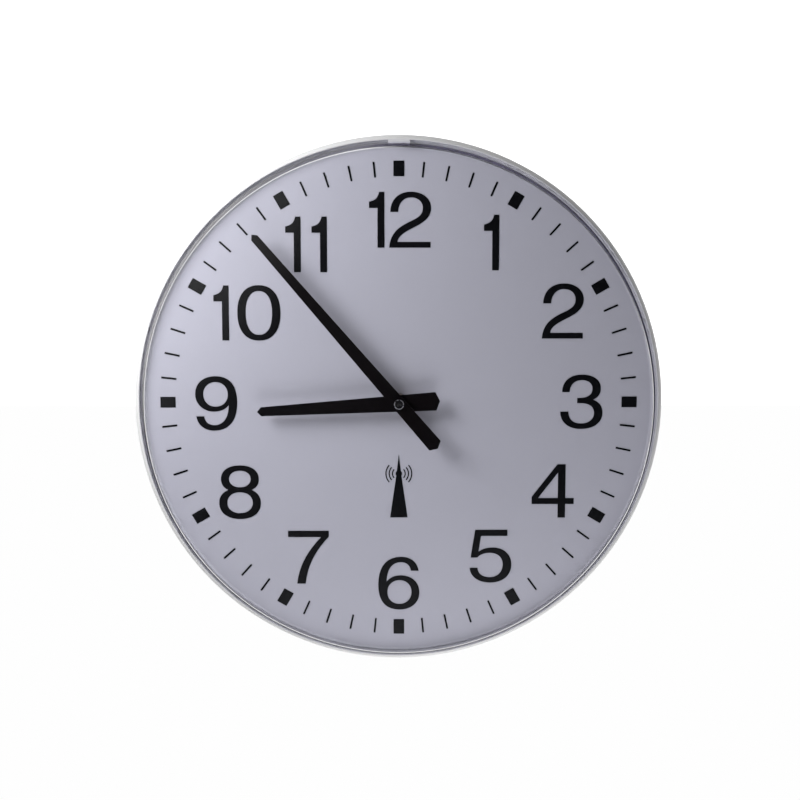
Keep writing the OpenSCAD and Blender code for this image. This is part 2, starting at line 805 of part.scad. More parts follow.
// A pinion that starts just in front of one layer and ends in another
module pinion(at, front_layer, back_layer, n, m, turn) {
    translate([at[0], 0, at[1]]) in_movement([front_layer[0] - 0.1, back_layer[0] - front_layer[0] + 0.2])
        polygon(gear(n, m, turn));
}

module wheel(at, layer, n, m, turn) {
    translate([at[0], 0, at[1]]) in_movement(layer) polygon(gear(n, m, turn));
}

// The small hole that a wheel lets the light through
module light_hole(layer) {
    bar(light_at, 0.6, layer[0] - 1, layer[0] + layer[1] + 1, 24);
}

module centre_wheel() {
    color("ivory") difference() {
        union() {
            wheel([0, 0], centre_layer, centre_n, centre_m, centre_turn);
            pinion([0, 0], motion_layer, centre_layer, small_n, motion_m, 0);
            bar([0, 0], 3, centre_layer[0], hub_back);
        }
        bar([0, 0], minute_shaft_r, 0, hub_back + 1);
        light_hole(centre_layer);
    }
}

module minute_shaft() {
    color("silver") union() {
        facing(front_face_y + hub_back)
            cylinder(r = minute_shaft_r, h = hub_back + minute_z + 2.4 - rear_z + front_face_y);
        bar([0, 0], spindle_r, hub_back - eps, bridge_back, 40);
    }
}

module hour_wheel() {
    hub = hour_layer[0] + hour_layer[1];
    color("ivory") difference() {
        union() {
            wheel([0, 0], hour_layer, hour_n, hour_m, hour_wheel_turn);
            facing(front_face_y + hub)
                cylinder(r = hour_tube_r, h = hub + hour_z + 1.3 - rear_z + front_face_y);
        }
        on_dial(-20) cylinder(r = minute_shaft_r + running_gap, h = 40);
        light_hole(hour_layer);
    }
}

module motion_wheel() {
    color("ivory") difference() {
        union() {
            wheel(motion_at, motion_layer, motion_n, motion_m, motion_turn);
            pinion(motion_at, hour_layer, motion_layer, small_n, hour_m, 0);
        }
        bar(motion_at, stud_r + running_gap, 0, 12);
    }
}

module third_wheel() {
    color("ivory") difference() {
        union() {
            wheel(third_at, third_layer, third_n, third_m, 0);
            pinion(third_at, centre_layer, third_layer, small_n, centre_m, third_pinion_turn);
            arbor(third_at);
        }
        light_hole(third_layer);
    }
}

module intermediate_wheel() {
    color("ivory") union() {
        wheel(inter_at, inter_layer, inter_n, inter_m, 0);
        pinion(inter_at, third_layer, inter_layer, small_n, third_m, inter_pinion_turn);
        arbor(inter_at);
    }
}

module rotor_pinion() {
    color("ivory") union() {
        pinion(rotor_at, inter_layer, magnet_layer - [0.1, 0], rotor_n, inter_m, rotor_turn);
        arbor(rotor_at);
    }
}

module rotor_magnet() {
    color("dimgray") difference() {
        bar(rotor_at, 3, magnet_layer[0], magnet_layer[0] + magnet_layer[1]);
        bar(rotor_at, arbor_r, magnet_layer[0] - 1, magnet_layer[0] + 4);
    }
}

rear_case();
lens();
dial();
hour_numerals();
hour_blocks();
minute_ticks();
radio_mast_mark();
front_housing();
threaded_neck();
rubber_gasket();
neck_washer();
neck_nut();
rear_housing();
gear_bridge();
bridge_screws();
stator();
coil_bobbin();
coil_winding();
circuit_board();
clock_chip();
crystals();
board_capacitors();
button_switches();
position_lamp();
position_sensor();
antenna_rod();
antenna_winding();
antenna_cradle();
battery();
plus_contact();
minus_contact();
set_button();
receive_button();
reset_button();
minute_hand();
minute_hand_bush();
minute_shaft();
centre_wheel();
hour_hand();
hour_hand_bush();
hour_wheel();
motion_wheel();
third_wheel();
intermediate_wheel();
rotor_pinion();
rotor_magnet();
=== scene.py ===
"""A radio-controlled wall clock: materials, small details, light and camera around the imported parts."""

import json
import math

import bmesh
import bpy
from mathutils import Matrix, Vector

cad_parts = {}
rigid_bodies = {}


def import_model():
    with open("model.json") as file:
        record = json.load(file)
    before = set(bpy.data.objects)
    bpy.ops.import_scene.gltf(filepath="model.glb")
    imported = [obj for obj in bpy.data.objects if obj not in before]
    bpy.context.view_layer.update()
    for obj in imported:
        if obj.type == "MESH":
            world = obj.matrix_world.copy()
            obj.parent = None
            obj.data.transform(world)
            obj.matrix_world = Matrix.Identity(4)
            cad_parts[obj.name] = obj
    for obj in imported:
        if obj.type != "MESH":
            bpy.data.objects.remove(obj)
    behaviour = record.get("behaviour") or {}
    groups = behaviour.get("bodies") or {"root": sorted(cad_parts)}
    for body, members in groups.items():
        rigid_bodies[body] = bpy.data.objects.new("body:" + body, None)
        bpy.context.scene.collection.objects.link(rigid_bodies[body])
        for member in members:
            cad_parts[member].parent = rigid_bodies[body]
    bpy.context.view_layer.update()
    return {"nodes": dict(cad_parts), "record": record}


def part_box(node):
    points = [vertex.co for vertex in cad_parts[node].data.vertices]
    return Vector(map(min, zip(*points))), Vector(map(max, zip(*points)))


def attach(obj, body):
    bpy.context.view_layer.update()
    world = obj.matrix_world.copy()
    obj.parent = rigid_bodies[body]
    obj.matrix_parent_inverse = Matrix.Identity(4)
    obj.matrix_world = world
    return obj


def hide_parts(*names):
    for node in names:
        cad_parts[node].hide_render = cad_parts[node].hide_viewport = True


# Places in the shared frame, in metres
HUB_Z = -0.140
DIAL_Y = -0.028
MOVEMENT_Y = -0.024
MOVEMENT_BACK_Y = MOVEMENT_Y + 0.0185
BATTERY_Z = HUB_Z - 0.036
BATTERY_Y = MOVEMENT_Y + 0.0107
HUB_RIM_Y = (-0.0446, -0.0447)
SHAFT_TIP_Y = (-0.0421, -0.0424)

# Edges where one look turns into another, each a start and an end. These are radii from the hand axis
# The dial's whiter rim between these radii is painted light over the shade of the case's lip
DIAL_PAINTED_LIGHT_RIM = (0.1905, 0.1935)
# The case's darker ring round the lens between these radii is painted shade, in the gap under its lip
CASE_PAINTED_SHADE_RING = (0.1966, 0.1957)
CASE_BACK = (0.1935, 0.1930)

# The same for rings, each an inner and an outer edge
HUB_RIM = ((0.00302, 0.00312), (0.0080, 0.0079))
LENS_ROLL = ((0.1889, 0.1892), (0.1899, 0.1897))
LENS_FOOT = ((0.1896, 0.1899), (0.1931, 0.1923))

# The lens: its outer skin lies beyond this radius once its taper is taken out
LENS_INDEX = 1.47
LENS_TAPER, LENS_OUTSIDE = 0.315, (0.1955, 0.1959)

# Its mirror: the share of light at its roll, what the foot loses, and where near ten the foot stays glossy
ROLL_MIRROR, FOOT_LOSS, FOOT_LOSS_AT_TEN = 0.85, 0.85, 0.15
AT_TEN, TEN = (0.15, 0.18), (-0.866, 0.0, 0.5)

# Its tint: rings that show on steep parts; near half past ten they are at half strength, painted light where
# the window lights them
LENS_STEEP = (0.3, 0.55)
PAINTED_LIGHT_RINGS = 0.5
AT_HALF_PAST_TEN, HALF_PAST_TEN = (0.135, 0.163), (-0.707, 0.0, 0.707)

# What the tint's rings let through, as radii in mm and colours: the pale ones are the plastic's own violet
# tint, the dark one is painted shade for the dark that the rolled edge shows by refraction
LENS_CLEAR = (0.975, 0.975, 0.992)
# Painted shade: the dark ring's colour stands in for what the rolled edge's refraction shows
LENS_PAINTED_SHADE = (0.11, 0.10, 0.16)
LENS_FLANGE = (0.85, 0.85, 0.88)
LENS_RINGS = (
    (187.0, LENS_CLEAR), (188.8, LENS_CLEAR), (189.3, (0.62, 0.60, 0.68)), (189.7, LENS_PAINTED_SHADE),
    (192.2, LENS_PAINTED_SHADE), (193.1, (0.80, 0.79, 0.88)), (194.9, (0.97, 0.97, 0.985)),
    (195.2, LENS_FLANGE), (196.2, LENS_FLANGE))

# Finishes that more than one material shares; turning marks are in radians a metre
BLACKENED = (0.006, 0.006, 0.007)
BARE_STEEL = (0.6, 0.6, 0.61)
PALE_PRINT = (0.62, 0.62, 0.58)
TURNING_MARKS = 42000.0

# Battery sleeve: its band and metal ends along X, and its printed signs
SLEEVE_BAND = ((0.0100, 0.0102), (0.0232, 0.0230))
PLUS_END, MINUS_END = (0.0236, 0.0238), (-0.0249, -0.0251)
PLUS_SIGN_X, MINUS_SIGN_X = 0.0166, -0.0205
SIGN_ARM, SIGN_LINE, PRINT_SOFTNESS = 0.0021, 0.00035, 0.00003

# Circuit board: tracks, and the legs of its chip
TRACK_PITCH = 0.0009
LEGS_A_SIDE, LEG_PITCH, LEG_REACH = 10, 0.0007, 0.0011
LEG_WIDTH, LEG_THICKNESS = 0.0003, 0.00015

# Raised details: wire of both windings, rings round the buttons, signs over the battery's bay
WIRE_RADIUS, WIRE_STEP = 0.00035, 0.0005
GUARD_RADIUS, GUARD_THICKNESS = 0.0026, 0.0003
BAY_SIGN_X, BAY_SIGN_RISE = 0.022, 0.0125
BAY_SIGN_LINE, BAY_SIGN_ROOT, BAY_SIGN_HEIGHT, BAY_SIGN_BEVEL = 0.00045, 0.0002, 0.0003, 0.0001

# Light that falls on the clock: strengths, and how far along X or Y the direction to each wall reaches
SIDE_LIGHT, FRONT_LIGHT, FRONT_WALL = 0.44, 0.03, (-0.45, -0.86)
BACK_LIGHT, BACK_WALL = 1.0, (-0.05, 0.3)
STRAIGHT_BEHIND, BACK_MIDDLE = 1.8, (0.6, 0.95)
LEFT_SHADE, LEFT_WALL = 0.12, (-0.75, -0.1)

# The room that glossy parts mirror: walls, ceiling, a window with a dim and a bright part, and a table
ROOM_WALLS = (-0.55, -0.25)
CEILING_LIGHT, CEILING, CEILING_WAY = 0.06, (0.5, 0.75), (0.447, 0.0, 0.894)
WINDOW_LIGHT, WINDOW_WAY = 0.4, (-0.8, 0.0, 0.6)
WINDOW_DIM, WINDOW_BRIGHT, WINDOW_SIDE = (0.08, 0.2), (0.2, 0.35), (0.05, -0.15)
TABLE_LIGHT, TABLE = 0.2, (-0.18, -0.46)
WHITE = (1.0, 1.0, 1.0, 1.0)

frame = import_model()


# ---------------------------------------------------------------- node helpers

class Shader:
    """A material or a world being built: short calls that add a node and wire its inputs."""

    def __init__(self, name, world=None):
        self.mat = world or bpy.data.materials.new(name)
        self.mat.use_nodes = True
        self.tree = self.mat.node_tree
        self.tree.nodes.clear()
        self.out = self.tree.nodes.new("ShaderNodeOutputWorld" if world else "ShaderNodeOutputMaterial")
        self.coords = self.tree.nodes.new("ShaderNodeTexCoord")

    def node(self, kind, inputs=None, **settings):
        n = self.tree.nodes.new("ShaderNode" + kind)
        for key, value in settings.items():
            setattr(n, key, value)
        for key, value in (inputs or {}).items():
            self.put(n.inputs[key], value)
        return n

    def put(self, socket, value):
        if isinstance(value, bpy.types.NodeSocket):
            self.tree.links.new(value, socket)
        else:
            socket.default_value = value

    def surface(self, shader):
        self.tree.links.new(shader.outputs[0], self.out.inputs["Surface"])

    def object_place(self):
        return self.coords.outputs["Object"]

    def xyz(self, vector=None):
        """The three parts of a vector, or of the place on the object."""
        return self.node("SeparateXYZ", {"Vector": vector or self.object_place()}).outputs

    def radius(self):
        """Distance from the hand axis."""
        place = self.xyz()
        up = self.math("SUBTRACT", place["Z"], HUB_Z)
        flat = self.node("CombineXYZ", {"X": place["X"], "Y": 0.0, "Z": up})
        return self.node("VectorMath", {0: flat.outputs[0]}, operation="LENGTH").outputs["Value"]

    def along(self, vector, way):
        """How far a vector reaches along a direction."""
        return self.node("VectorMath", {0: vector, 1: way}, operation="DOT_PRODUCT").outputs["Value"]

    def out_from_hub(self, way):
        """Distance from the hand axis, measured along a direction on the dial."""
        return self.math("SUBTRACT", self.along(self.object_place(), way), way[2] * HUB_Z)

    def math(self, operation, a, b=0.0, c=0.0):
        n = self.node("Math", operation=operation)
        for i, value in enumerate((a, b, c)):
            self.put(n.inputs[i], value)
        return n.outputs[0]

    def product(self, first, *others):
        for value in others:
            first = self.math("MULTIPLY", first, value)
        return first

    def largest(self, first, *others):
        for value in others:
            first = self.math("MAXIMUM", first, value)
        return first

    def flipped(self, value):
        return self.math("SUBTRACT", 1.0, value)

    def span(self, value, low, high, to_low=0.0, to_high=1.0, smooth=False):
        """The value's way from low to high, turned into a way from to_low to to_high."""
        n = self.node("MapRange", {"Value": value, "From Min": low, "From Max": high, "To Min": to_low,
                                   "To Max": to_high})
        n.interpolation_type = "SMOOTHSTEP" if smooth else "LINEAR"
        return n.outputs["Result"]

    def band(self, value, rise, fall):
        """One between two edges, and zero outside them."""
        return self.product(self.span(value, *rise), self.span(value, *fall))

    def blend(self, fac, a, b):
        n = self.node("Mix", data_type="RGBA")
        for name, value in (("Factor", fac), ("A", a), ("B", b)):
            sockets = [s for s in n.inputs if s.name == name and s.enabled]
            self.put(sockets[0], value)
        return [s for s in n.outputs if s.enabled][0]

    def ramp(self, fac, stops):
        n = self.node("ValToRGB", {"Fac": fac})
        elements = n.color_ramp.elements
        while len(elements) < len(stops):
            elements.new(0.5)
        for element, (place, colour) in zip(elements, stops):
            element.position = place
            element.color = (*colour, 1.0)
        return n.outputs["Color"]

    def noise(self, scale, detail=3.0, where=None):
        place = where or self.object_place()
        return self.node("TexNoise", {"Vector": place, "Scale": scale, "Detail": detail}).outputs["Fac"]

    def drift(self, scale, low, high):
        """A value that wanders slowly between two levels."""
        return self.span(self.noise(scale), 0.3, 0.7, low, high)

    def mottled(self, colour, scale, spread):
        """The colour with a slow, slight drift in brightness."""
        return self.blend(self.noise(scale), rgba(colour, 1.0 - spread), rgba(colour, 1.0 + spread))

    def stretched(self, scales):
        """Object coordinates scaled apart along the axes, for grain with a direction."""
        return self.node("Mapping", {"Vector": self.object_place(), "Scale": scales}).outputs["Vector"]

    def turning_marks(self):
        """Fine rings about the hand axis, from -1 to 1."""
        return self.math("SINE", self.product(self.radius(), TURNING_MARKS))

    def bump(self, height, distance, strength=0.5):
        n = self.node("Bump", {"Height": height, "Distance": distance, "Strength": strength})
        return n.outputs["Normal"]

    def principled(self, **inputs):
        names = {"colour": "Base Color", "rough": "Roughness", "metal": "Metallic", "normal": "Normal",
                 "coat": "Coat Weight", "coat_rough": "Coat Roughness", "gloss": "Specular IOR Level"}
        self.surface(self.node("BsdfPrincipled", {names[k]: v for k, v in inputs.items()}))


def rgba(colour, times=1.0):
    """The colour as a shader takes it, made darker or brighter."""
    return (*(min(1.0, c * times) for c in colour), 1.0)


# ---------------------------------------------------------------- materials

def moulded_plastic(name, colour, rough, grain=2400.0, depth=0.00002, coat=0.0):
    """Plain moulding with a fine spark-eroded grain."""
    s = Shader(name)
    s.principled(colour=s.mottled(colour, 35.0, 0.03), rough=s.drift(160.0, rough - 0.05, rough + 0.06),
                 normal=s.bump(s.noise(grain, 2.0), depth), coat=coat, coat_rough=0.08)
    return s.mat


def sheet_metal(name, colour, rough, lines=(60.0, 60.0, 4000.0)):
    """Metal with fine rolling marks along one way."""
    s = Shader(name)
    grain = s.noise(1.0, 2.0, where=s.stretched(lines))
    s.principled(colour=s.mottled(colour, 120.0, 0.05), metal=1.0,
                 rough=s.span(grain, 0.25, 0.75, rough - 0.08, rough + 0.1),
                 normal=s.bump(grain, 0.000004, 0.35))
    return s.mat


def turned_brass():
    """Brass turned on a lathe, with faint rings about the hand axis."""
    s = Shader("brass")
    rings = s.turning_marks()
    s.principled(colour=s.mottled((0.78, 0.56, 0.24), 300.0, 0.05), metal=1.0,
                 rough=s.span(rings, -1.0, 1.0, 0.26, 0.34), normal=s.bump(rings, 0.000003, 0.4))
    return s.mat


def enamelled_wire():
    """Copper wire under clear enamel, a little redder where the enamel is thick."""
    s = Shader("copper_wire")
    enamel = s.noise(600.0)
    s.principled(colour=s.blend(enamel, rgba((0.74, 0.30, 0.11)), rgba((0.62, 0.20, 0.07))), metal=0.9,
                 rough=s.span(enamel, 0.3, 0.7, 0.24, 0.36), coat=0.5, coat_rough=0.1)
    return s.mat


def dial_sheet():
    """Matt pale sheet, whiter round its rim behind the lens's edge: painted light that lifts the shade the
    case's lip casts there.
    """
    s = Shader("dial_sheet")
    # Painted light: the rim turns whiter where the case's lip shades the dial
    rim = s.span(s.radius(), *DIAL_PAINTED_LIGHT_RIM, smooth=True)
    s.principled(colour=s.blend(rim, s.mottled((0.53, 0.53, 0.58), 9.0, 0.012), rgba((0.86, 0.86, 0.9))),
                 rough=s.drift(700.0, 0.5, 0.6), gloss=0.25,
                 normal=s.bump(s.noise(5000.0, 1.0), 0.000004, 0.3))
    return s.mat


def printed_ink():
    """Matt black print."""
    s = Shader("ink")
    s.principled(colour=s.mottled((0.0042, 0.0044, 0.0054), 220.0, 0.25), gloss=0.08,
                 rough=s.drift(900.0, 0.45, 0.6))
    return s.mat


def hand_paint():
    """Satin black on the face, with the cut edges of the sheet a little brighter: a painted highlight where
    they catch the light.
    """
    s = Shader("hand_black")
    face = s.blend(s.noise(14.0, 2.0), rgba((0.003, 0.003, 0.004)), rgba((0.0065, 0.0045, 0.0045)))
    facing = s.xyz(s.node("NewGeometry").outputs["True Normal"])["Y"]
    # Painted highlight: faces of the sheet that look sideways are coloured brighter
    cut = s.span(s.math("ABSOLUTE", facing), 0.5, 0.3)
    s.principled(colour=s.blend(cut, face, rgba((0.10, 0.10, 0.115))), gloss=0.08,
                 rough=s.drift(400.0, 0.32, 0.42), normal=s.bump(s.noise(1800.0, 2.0), 0.00001, 0.25))
    return s.mat


def hub_metal():
    """Blackened bush whose turned rim has lost its black."""
    s = Shader("black_bush")
    rim = s.product(s.span(s.xyz()["Y"], *HUB_RIM_Y), s.band(s.radius(), *HUB_RIM))
    worn = s.product(rim, s.span(s.noise(500.0, 1.0), 0.38, 0.56))
    rings = s.turning_marks()
    s.principled(colour=s.blend(worn, rgba(BLACKENED), rgba((0.62, 0.62, 0.64))), metal=worn,
                 rough=s.span(rings, -1.0, 1.0, 0.3, 0.4), gloss=0.2, normal=s.bump(rings, 0.000002, 0.3))
    return s.mat


def shaft_steel():
    """Ground steel, blackened at the end that shows inside the hub."""
    s = Shader("shaft_steel")
    tip = s.span(s.xyz()["Y"], *SHAFT_TIP_Y)
    s.principled(colour=s.blend(tip, rgba(BARE_STEEL), rgba(BLACKENED)), metal=s.flipped(tip),
                 rough=s.span(s.turning_marks(), -1.0, 1.0, 0.3, 0.4), gloss=0.2)
    return s.mat


def case_plastic():
    """White moulding: a little darker round the lens, a painted shade in the gap under the case's lip, and
    coarser and duller on the back.
    """
    s = Shader("case_plastic")
    # Painted shade: darker in the gap between the lens and the case's lip
    painted_lip_shade = s.span(s.radius(), *CASE_PAINTED_SHADE_RING, smooth=True)
    back = s.span(s.radius(), *CASE_BACK)
    grain = s.product(s.noise(1500.0, 2.0), s.span(back, 0.0, 1.0, 1.0, 5.0))
    s.principled(colour=s.blend(painted_lip_shade, s.mottled((0.65, 0.65, 0.655), 35.0, 0.012), rgba((0.60, 0.60, 0.62))),
                 rough=s.math("MULTIPLY_ADD", back, 0.2, s.drift(160.0, 0.3, 0.4)),
                 normal=s.bump(grain, 0.00001))
    return s.mat


def lens_outside(s):
    """One on the outer skin of the lens's shoulder and flange, zero on its inner skin."""
    height = s.math("SUBTRACT", DIAL_Y, s.xyz()["Y"])
    return s.span(s.math("MULTIPLY_ADD", height, LENS_TAPER, s.radius()), *LENS_OUTSIDE)


def lens_tint_and_painted_shade(s):
    """Colour of the light that passes: clear, with rings in the rolled edge, the plastic's own tint and a
    dark ring of painted shade, halved near half past ten by painted light.
    """
    low, high = LENS_RINGS[0][0], LENS_RINGS[-1][0]
    stops = [((mm - low) / (high - low), colour) for mm, colour in LENS_RINGS]
    rings = s.ramp(s.span(s.radius(), low / 1000.0, high / 1000.0), stops)
    steep = s.span(s.node("LayerWeight", {"Blend": 0.5}).outputs["Facing"], *LENS_STEEP)
    # Painted light: the rings fade to half near half past ten, where the window lights the edge
    window_painted_light = s.span(s.out_from_hub(HALF_PAST_TEN), *AT_HALF_PAST_TEN, 1.0, PAINTED_LIGHT_RINGS, smooth=True)
    return s.blend(s.product(lens_outside(s), steep, window_painted_light), rgba(LENS_CLEAR), rings)


def lens_mirror(s):
    """How much the skin mirrors: a bright roll, and a foot that is dull except near ten o'clock."""
    leaving = s.node("NewGeometry").outputs["Backfacing"]
    index = s.span(leaving, 0.0, 1.0, LENS_INDEX, 1.0 / LENS_INDEX)
    film = s.span(s.noise(26.0, 2.0), 0.3, 0.7, 0.97, 1.03)
    skin = s.product(s.node("Fresnel", {"IOR": index}).outputs[0], film)
    outer = lens_outside(s)
    foot = s.product(s.band(s.radius(), *LENS_FOOT), outer)
    lost = s.span(s.out_from_hub(TEN), *AT_TEN, FOOT_LOSS, FOOT_LOSS_AT_TEN)
    skin = s.product(skin, s.flipped(s.product(foot, lost)))
    return s.largest(skin, s.product(s.band(s.radius(), *LENS_ROLL), outer, ROLL_MIRROR))


def lens_plastic():
    """Clear moulding: see-through, with a mirror skin and rings of tint and painted shade in its rolled edge,
    and a light shadow.
    """
    s = Shader("lens_plastic")
    passing = s.node("LightPath").outputs
    unseen = s.largest(passing["Is Shadow Ray"], passing["Is Diffuse Ray"])
    clear = s.node("BsdfTransparent", {"Color": s.blend(unseen, lens_tint_and_painted_shade(s), rgba(LENS_CLEAR))})
    shine = s.node("BsdfGlossy", {"Color": WHITE, "Roughness": 0.03})
    fac = s.product(lens_mirror(s), s.span(unseen, 0.0, 1.0, 1.0, 0.5))
    s.surface(s.node("MixShader", {0: fac, 1: clear.outputs[0], 2: shine.outputs[0]}))
    return s.mat


def circuit_board():
    """Green mask over bundles of copper tracks that run across or up in each block of the board."""
    s = Shader("board")
    place = s.xyz()
    blocks = s.node("TexVoronoi", {"Vector": s.object_place(), "Scale": 150.0, "Randomness": 0.6},
                    distance="CHEBYCHEV")
    chance = s.node("SeparateColor", {"Color": blocks.outputs["Color"]}).outputs

    def lines(value):
        within = s.math("FRACT", s.product(value, 1.0 / TRACK_PITCH))
        return s.span(s.math("ABSOLUTE", s.math("SUBTRACT", within, 0.5)), 0.19, 0.16)

    upright = s.span(chance["Red"], 0.49, 0.51)
    tracks = s.largest(s.product(lines(place["X"]), upright),
                       s.product(lines(place["Z"]), s.flipped(upright)))
    tracks = s.product(tracks, s.span(chance["Green"], 0.34, 0.36))
    s.principled(colour=s.blend(tracks, rgba((0.018, 0.11, 0.045)), rgba((0.06, 0.22, 0.08))), coat=0.4,
                 rough=s.drift(300.0, 0.3, 0.4), normal=s.bump(tracks, 0.00002))
    return s.mat


def battery_sleeve():
    """Plain green shrunk sleeve: a pale band round the plus end, and a printed sign at each end."""
    s = Shader("cell_wrap")
    place = s.xyz()
    along = place["X"]
    up = s.math("SUBTRACT", place["Z"], BATTERY_Z)
    rear = s.span(place["Y"], BATTERY_Y, BATTERY_Y + 0.001)

    def stroke(value, half):
        return s.span(s.math("ABSOLUTE", value), half + PRINT_SOFTNESS, half - PRINT_SOFTNESS)

    def bar(middle, half_length, half_height):
        across = s.math("SUBTRACT", along, middle)
        return s.product(stroke(across, half_length), stroke(up, half_height), rear)

    plus = s.largest(bar(PLUS_SIGN_X, SIGN_ARM, SIGN_LINE), bar(PLUS_SIGN_X, SIGN_LINE, SIGN_ARM))
    minus = bar(MINUS_SIGN_X, SIGN_ARM, SIGN_LINE)
    metal_end = s.largest(s.span(along, *PLUS_END), s.span(along, *MINUS_END))
    colour = s.mottled((0.035, 0.17, 0.10), 60.0, 0.08)
    colour = s.blend(s.band(along, *SLEEVE_BAND), colour, rgba(PALE_PRINT))
    colour = s.blend(plus, colour, rgba((0.02, 0.09, 0.05)))
    colour = s.blend(minus, colour, rgba(PALE_PRINT))
    colour = s.blend(metal_end, colour, rgba((0.62, 0.62, 0.62)))
    s.principled(colour=colour, metal=metal_end, rough=s.drift(500.0, 0.25, 0.38), coat=0.3)
    return s.mat


# Mouldings: colour and roughness, and the grain, its depth or a coat where those aren't the usual ones
MOULDINGS = {
    "black_plastic": dict(colour=(0.028, 0.028, 0.031), rough=0.5, grain=2600.0, depth=0.00005),
    "white_resin": dict(colour=(0.74, 0.73, 0.68), rough=0.4),
    "grey_plastic": dict(colour=(0.42, 0.42, 0.43), rough=0.42),
    "rubber": dict(colour=(0.022, 0.022, 0.022), rough=0.75, grain=3000.0, depth=0.00006),
    "magnet": dict(colour=(0.09, 0.09, 0.095), rough=0.45, grain=4000.0, depth=0.00003),
    "ferrite": dict(colour=(0.06, 0.058, 0.056), rough=0.6, grain=3500.0, depth=0.00006),
    "chip_ceramic": dict(colour=(0.5, 0.38, 0.24), rough=0.5),
    "lamp_clear": dict(colour=(0.7, 0.7, 0.76), rough=0.15, coat=0.6),
}
SHEET_METALS = {
    "steel": dict(colour=BARE_STEEL, rough=0.28),
    "core_iron": dict(colour=(0.36, 0.36, 0.37), rough=0.38, lines=(3000.0, 80.0, 80.0)),
}
OTHER_FINISHES = {
    "case_plastic": case_plastic,
    "lens_plastic": lens_plastic,
    "dial_sheet": dial_sheet,
    "ink": printed_ink,
    "hand_black": hand_paint,
    "brass": turned_brass,
    "black_bush": hub_metal,
    "copper_wire": enamelled_wire,
    "board": circuit_board,
    "cell_wrap": battery_sleeve,
}


def mix_finishes():
    """Every finish that the parts' slots ask for, by the slot's name."""
    made = {slot: make() for slot, make in OTHER_FINISHES.items()}
    made.update((slot, moulded_plastic(slot, **look)) for slot, look in MOULDINGS.items())
    made.update((slot, sheet_metal(slot, **look)) for slot, look in SHEET_METALS.items())
    return made


def dress_nodes(finishes):
    """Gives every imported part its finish."""
    for part in frame["record"]["subparts"]:
        for slot in frame["nodes"][part["node"]].material_slots:
            slot.link = "OBJECT"
            slot.material = finishes[part["material_slot"]]
    steel_tip = shaft_steel()
    for slot in frame["nodes"]["minute_shaft"].material_slots:
        slot.material = steel_tip


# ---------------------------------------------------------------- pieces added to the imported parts

class Growth:
    """A Geometry Nodes tree being built, whose sizes are its named inputs."""

    def __init__(self, name, sizes):
        self.tree = bpy.data.node_groups.new(name, "GeometryNodeTree")
        self.tree.interface.new_socket(name="Geometry", in_out="INPUT", socket_type="NodeSocketGeometry")
        self.ids = {}
        for size, kind in sizes.items():
            item = self.tree.interface.new_socket(name=size, in_out="INPUT", socket_type="NodeSocket" + kind)
            self.ids[size] = item.identifier
        self.tree.interface.new_socket(name="Geometry", in_out="OUTPUT", socket_type="NodeSocketGeometry")
        self.given = self.tree.nodes.new("NodeGroupInput").outputs

    def node(self, kind, inputs=None, **settings):
        n = self.tree.nodes.new("GeometryNode" + kind)
        for key, value in settings.items():
            setattr(n, key, value)
        for key, value in (inputs or {}).items():
            if isinstance(value, bpy.types.NodeSocket):
                self.tree.links.new(value, n.inputs[key])
            else:
                n.inputs[key].default_value = value
        return n.outputs[0]

    def end(self, instances, material):
        """Closes the tree: real, smooth geometry in one finish."""
        whole = self.node("RealizeInstances", {"Geometry": instances})
        smooth = self.node("SetShadeSmooth", {"Geometry": whole})
        painted = self.node("SetMaterial", {"Geometry": smooth, "Material": material})
        out = self.tree.nodes.new("NodeGroupOutput")
        self.tree.links.new(painted, out.inputs[0])

    def grow(self, name, values, points=(), turns=()):
        """The tree's result at these sizes, as a plain mesh object with its faces outwards."""
        seed = bpy.data.meshes.new(name + "_points")
        seed.from_pydata(list(points), [], [])
        turned = seed.attributes.new("turn", "FLOAT_VECTOR", "POINT")
        for entry, turn in zip(turned.data, turns):
            entry.vector = turn
        holder = bpy.data.objects.new(name + "_points", seed)
        bpy.context.collection.objects.link(holder)
        modifier = holder.modifiers.new("grow", "NODES")
        modifier.node_group = self.tree
        for size, value in values.items():
            modifier[self.ids[size]] = value
        bpy.context.view_layer.update()
        shaped = holder.evaluated_get(bpy.context.evaluated_depsgraph_get())
        mesh = bpy.data.meshes.new_from_object(shaped)
        bpy.data.objects.remove(holder)
        return plain_piece(name, mesh)


def plain_piece(name, mesh):
    """An object of its own for a mesh whose joints are welded and whose faces point outwards."""
    bm = bmesh.new()
    bm.from_mesh(mesh)
    bmesh.ops.remove_doubles(bm, verts=bm.verts, dist=0.0000001)
    bmesh.ops.recalc_face_normals(bm, faces=bm.faces)
    bm.to_mesh(mesh)
    bm.free()
    piece = bpy.data.objects.new(name, mesh)
    bpy.context.collection.objects.link(piece)
    return piece


def winding_tree(wire_finish):
    """Turns of wire round a core, side by side along Z."""
    g = Growth("winding", {"Across": "Float", "Deep": "Float", "Corner": "Float", "Wire": "Float",
                           "Turns": "Int", "Step": "Vector", "First": "Vector"})
    core = g.node("CurvePrimitiveQuadrilateral", {"Width": g.given["Across"], "Height": g.given["Deep"]})
    path = g.node("FilletCurve", {"Curve": core, "Radius": g.given["Corner"], "Count": 8}, mode="POLY")
    wire = g.node("CurvePrimitiveCircle", {"Resolution": 6, "Radius": g.given["Wire"]})
    turn = g.node("CurveToMesh", {"Curve": path, "Profile Curve": wire})
    places = g.node("MeshLine", {"Count": g.given["Turns"], "Start Location": g.given["First"],
                                 "Offset": g.given["Step"]})
    g.end(g.node("InstanceOnPoints", {"Points": places, "Instance": turn}), wire_finish)
    return g


